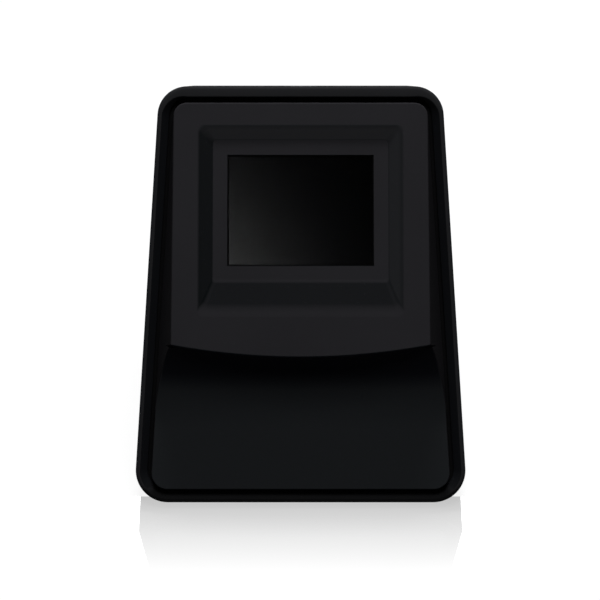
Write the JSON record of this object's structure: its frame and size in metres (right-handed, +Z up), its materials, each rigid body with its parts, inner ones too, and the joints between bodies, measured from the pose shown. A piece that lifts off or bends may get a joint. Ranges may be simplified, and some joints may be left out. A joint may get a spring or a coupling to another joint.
{
  "type": "film negative scanner",
  "caption": "Desktop film negative scanner: reclined display face over a scooped lower panel, film slot through both sides, push buttons on the sloping top.",
  "frame": {"origin": "on the table under the centre of the bounding box, at the bottom of the rubber feet", "axes": "+X to the viewer's right, +Y to the back, +Z up; the front faces -Y and leans back"},
  "size_m": [0.113, 0.115, 0.1317],
  "materials": {
    "housing": "fine satin grain, black",
    "frame": "semi-gloss black",
    "cover": "soft satin black",
    "base": "textured black",
    "feet": "matt rubber",
    "screws": "zinc plated",
    "window": "clear polished",
    "display": "dark polarised glass, off",
    "tray": "stamped, satin",
    "gate": "matt black",
    "reflector": "matt white",
    "diffuser": "opal",
    "board": "solder mask over glass fibre",
    "led": "cast resin",
    "tower": "light-absorbing matt black",
    "lens": "turned, black",
    "optic": "coated glass",
    "sensor": "glass over silicon",
    "chips": "moulded epoxy",
    "socket": "nickel plated",
    "jack": "moulded black",
    "buttons": "satin dark grey",
    "ok_cap": "silver-grey",
    "brass": "turned",
    "spring": "spring wire",
    "ribbon": "polyimide film",
    "cable": "flexible sheath"
  },
  "bodies": {
    "scanner": {"rear_housing": "housing", "front_frame": "frame", "front_cover": "cover", "base_plate": "base", "rubber_feet": "feet", "base_screws": "screws", "cover_screws": "screws", "screen_window": "window", "lcd_panel": "display", "lcd_light_unit": "tray", "lcd_bracket": "tray", "lcd_screws": "screws", "lower_gate": "gate", "upper_gate": "gate", "gate_screws": "screws", "roof_screws": "screws", "light_box": "reflector", "diffuser": "diffuser", "light_board": "board", "light_leds": "led", "light_screws": "screws", "camera_tower": "tower", "tower_screws": "screws", "lens_holder": "lens", "lens_barrel": "lens", "lens_glass": "optic", "sensor_board": "board", "image_sensor": "sensor", "sensor_screws": "screws", "main_board": "board", "board_chips": "chips", "board_screws": "screws", "usb_socket": "socket", "av_jack": "jack", "sd_socket": "socket", "button_board": "board", "tact_switches": "chips", "button_board_screws": "screws", "detent_barrel": "socket", "detent_spring": "spring", "lcd_ribbon": "ribbon", "sensor_ribbon": "ribbon", "button_ribbon": "ribbon", "light_cable": "cable"},
    "power_button": {"power_button": "buttons"},
    "previous_button": {"previous_button": "buttons"},
    "ok_button": {"ok_button": "ok_cap"},
    "next_button": {"next_button": "buttons"},
    "mode_button": {"mode_button": "buttons"},
    "detent": {"detent_pin": "brass"}
  },
  "joints": [
    {"name": "power_press", "type": "slide", "parent": "scanner", "child": "power_button", "axis": [0, -0.4226, -0.9063], "range_m": [0, 0.0009], "stiffness_N_per_m": 800},
    {"name": "previous_press", "type": "slide", "parent": "scanner", "child": "previous_button", "axis": [0, -0.4226, -0.9063], "range_m": [0, 0.0009], "stiffness_N_per_m": 800},
    {"name": "ok_press", "type": "slide", "parent": "scanner", "child": "ok_button", "axis": [0, -0.4226, -0.9063], "range_m": [0, 0.0009], "stiffness_N_per_m": 800},
    {"name": "next_press", "type": "slide", "parent": "scanner", "child": "next_button", "axis": [0, -0.4226, -0.9063], "range_m": [0, 0.0009], "stiffness_N_per_m": 800},
    {"name": "mode_press", "type": "slide", "parent": "scanner", "child": "mode_button", "axis": [0, -0.4226, -0.9063], "range_m": [0, 0.0009], "stiffness_N_per_m": 800},
    {"name": "detent_click", "type": "slide", "parent": "scanner", "child": "detent", "axis": [0, 1, 0], "range_m": [0, 0.0012], "stiffness_N_per_m": 600, "deforming": ["detent_spring"]}
  ]
}
